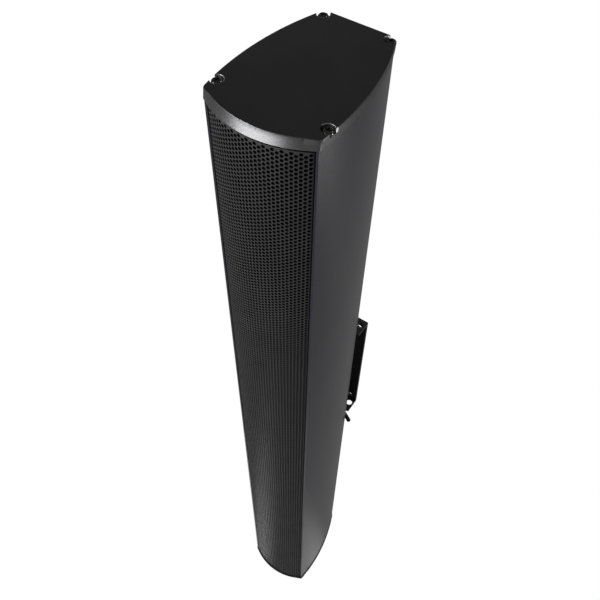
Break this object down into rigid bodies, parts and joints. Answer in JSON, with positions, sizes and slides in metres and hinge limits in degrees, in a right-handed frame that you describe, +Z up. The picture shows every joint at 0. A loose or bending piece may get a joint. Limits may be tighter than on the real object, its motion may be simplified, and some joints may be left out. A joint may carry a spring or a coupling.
{
  "type": "column line array loudspeaker",
  "caption": "Tall slim black column loudspeaker with a bowed perforated grille, bowed sides, screwed end caps and a swivelling U-shaped wall bracket.",
  "frame": {"origin": "centre of the four wall screw holes, on the wall face of the wall bracket", "axes": "+Z up along the column, +Y into the wall, so the loudspeaker faces -Y, and +X to the right as seen from the front"},
  "size_m": [0.1058, 0.1802, 1.043],
  "materials": {
    "cabinet_paint": "satin black fine-texture powder coat on an extrusion",
    "cap_metal": "black, matte top and satin front band, cast",
    "gasket_rubber": "black",
    "black_screws": "black oxide, semi-gloss",
    "grille_steel": "black powder coat, perforated",
    "black_cloth": "thin black acoustic cloth",
    "baffle_sheet": "matte black",
    "surround_rubber": "black",
    "magnet_ferrite": "dark ferrite",
    "zinc_steel": "zinc plated",
    "basket_steel": "black pressed steel",
    "cone_paper": "black treated paper",
    "wadding": "grey polyester wadding",
    "board_laminate": "green laminate",
    "component_plastic": "dark moulded",
    "brass_posts": "plain",
    "transformer_steel": "varnished laminations",
    "wire_sleeve": "black sleeve",
    "panel_metal": "satin black",
    "terminal_plastic": "dark green moulded",
    "knob_plastic": "black moulded",
    "bracket_paint": "satin black powder coat",
    "washer_nylon": "natural nylon",
    "lever_plastic": "black moulded"
  },
  "bodies": {
    "wall_mount": {"wall_bracket": "bracket_paint", "pivot_bolts": "black_screws", "pivot_nuts": "black_screws", "pivot_washers": "washer_nylon"},
    "speaker": {"baffle": "baffle_sheet", "baffle_screws": "black_screws", "board_components": "component_plastic", "board_standoffs": "brass_posts", "bottom_cap": "cap_metal", "bottom_cap_screws": "black_screws", "bottom_gasket": "gasket_rubber", "bracket_bolts": "black_screws", "bracket_inserts": "zinc_steel", "crossover_board": "board_laminate", "damping_wadding": "wadding", "driver_frame_01": "basket_steel", "driver_frame_02": "basket_steel", "driver_frame_03": "basket_steel", "driver_frame_04": "basket_steel", "driver_frame_05": "basket_steel", "driver_frame_06": "basket_steel", "driver_frame_07": "basket_steel", "driver_frame_08": "basket_steel", "driver_frame_09": "basket_steel", "driver_frame_10": "basket_steel", "driver_frame_11": "basket_steel", "driver_frame_12": "basket_steel", "driver_magnets": "magnet_ferrite", "driver_screws": "black_screws", "driver_surrounds": "surround_rubber", "driver_yokes": "zinc_steel", "enclosure": "cabinet_paint", "grille": "grille_steel", "grille_cloth": "black_cloth", "input_panel": "panel_metal", "input_panel_screws": "black_screws", "line_transformer": "transformer_steel", "safety_insert": "zinc_steel", "selector_body": "component_plastic", "speaker_bracket": "bracket_paint", "terminal_block": "terminal_plastic", "terminal_screws": "zinc_steel", "top_cap": "cap_metal", "top_cap_screws": "black_screws", "top_gasket": "gasket_rubber", "wiring_harness": "wire_sleeve"},
    "clamp_lever": {"lock_lever": "lever_plastic"},
    "tap_selector": {"tap_selector_knob": "knob_plastic"},
    "cone_01": {"driver_cone_01": "cone_paper"},
    "cone_02": {"driver_cone_02": "cone_paper"},
    "cone_03": {"driver_cone_03": "cone_paper"},
    "cone_04": {"driver_cone_04": "cone_paper"},
    "cone_05": {"driver_cone_05": "cone_paper"},
    "cone_06": {"driver_cone_06": "cone_paper"},
    "cone_07": {"driver_cone_07": "cone_paper"},
    "cone_08": {"driver_cone_08": "cone_paper"},
    "cone_09": {"driver_cone_09": "cone_paper"},
    "cone_10": {"driver_cone_10": "cone_paper"},
    "cone_11": {"driver_cone_11": "cone_paper"},
    "cone_12": {"driver_cone_12": "cone_paper"}
  },
  "joints": [
    {"name": "speaker_pan", "type": "hinge", "parent": "wall_mount", "child": "speaker", "pos_m": [0, -0.018, 0], "axis": [0, 0, 1], "range_deg": [-15, 15]},
    {"name": "clamp_lever_turn", "type": "hinge", "parent": "speaker", "child": "clamp_lever", "pos_m": [0.017, -0.018, -0.11], "axis": [0, 0, 1], "range_deg": [0, 40]},
    {"name": "tap_selector_turn", "type": "hinge", "parent": "speaker", "child": "tap_selector", "pos_m": [0, -0.03, -0.363], "axis": [0, 1, 0], "range_deg": [-120, 120]},
    {"name": "cone_01_stroke", "type": "slide", "parent": "speaker", "child": "cone_01", "axis": [0, -1, 0], "range_m": [-0.002, 0.002], "stiffness_N_per_m": 600},
    {"name": "cone_02_stroke", "type": "slide", "parent": "speaker", "child": "cone_02", "axis": [0, -1, 0], "range_m": [-0.002, 0.002], "stiffness_N_per_m": 600},
    {"name": "cone_03_stroke", "type": "slide", "parent": "speaker", "child": "cone_03", "axis": [0, -1, 0], "range_m": [-0.002, 0.002], "stiffness_N_per_m": 600},
    {"name": "cone_04_stroke", "type": "slide", "parent": "speaker", "child": "cone_04", "axis": [0, -1, 0], "range_m": [-0.002, 0.002], "stiffness_N_per_m": 600},
    {"name": "cone_05_stroke", "type": "slide", "parent": "speaker", "child": "cone_05", "axis": [0, -1, 0], "range_m": [-0.002, 0.002], "stiffness_N_per_m": 600},
    {"name": "cone_06_stroke", "type": "slide", "parent": "speaker", "child": "cone_06", "axis": [0, -1, 0], "range_m": [-0.002, 0.002], "stiffness_N_per_m": 600},
    {"name": "cone_07_stroke", "type": "slide", "parent": "speaker", "child": "cone_07", "axis": [0, -1, 0], "range_m": [-0.002, 0.002], "stiffness_N_per_m": 600},
    {"name": "cone_08_stroke", "type": "slide", "parent": "speaker", "child": "cone_08", "axis": [0, -1, 0], "range_m": [-0.002, 0.002], "stiffness_N_per_m": 600},
    {"name": "cone_09_stroke", "type": "slide", "parent": "speaker", "child": "cone_09", "axis": [0, -1, 0], "range_m": [-0.002, 0.002], "stiffness_N_per_m": 600},
    {"name": "cone_10_stroke", "type": "slide", "parent": "speaker", "child": "cone_10", "axis": [0, -1, 0], "range_m": [-0.002, 0.002], "stiffness_N_per_m": 600},
    {"name": "cone_11_stroke", "type": "slide", "parent": "speaker", "child": "cone_11", "axis": [0, -1, 0], "range_m": [-0.002, 0.002], "stiffness_N_per_m": 600},
    {"name": "cone_12_stroke", "type": "slide", "parent": "speaker", "child": "cone_12", "axis": [0, -1, 0], "range_m": [-0.002, 0.002], "stiffness_N_per_m": 600}
  ],
  "couplings": [
    {"joint": "cone_02_stroke", "follows": "cone_01_stroke", "ratio": 1},
    {"joint": "cone_03_stroke", "follows": "cone_01_stroke", "ratio": 1},
    {"joint": "cone_04_stroke", "follows": "cone_01_stroke", "ratio": 1},
    {"joint": "cone_05_stroke", "follows": "cone_01_stroke", "ratio": 1},
    {"joint": "cone_06_stroke", "follows": "cone_01_stroke", "ratio": 1},
    {"joint": "cone_07_stroke", "follows": "cone_01_stroke", "ratio": 1},
    {"joint": "cone_08_stroke", "follows": "cone_01_stroke", "ratio": 1},
    {"joint": "cone_09_stroke", "follows": "cone_01_stroke", "ratio": 1},
    {"joint": "cone_10_stroke", "follows": "cone_01_stroke", "ratio": 1},
    {"joint": "cone_11_stroke", "follows": "cone_01_stroke", "ratio": 1},
    {"joint": "cone_12_stroke", "follows": "cone_01_stroke", "ratio": 1}
  ]
}
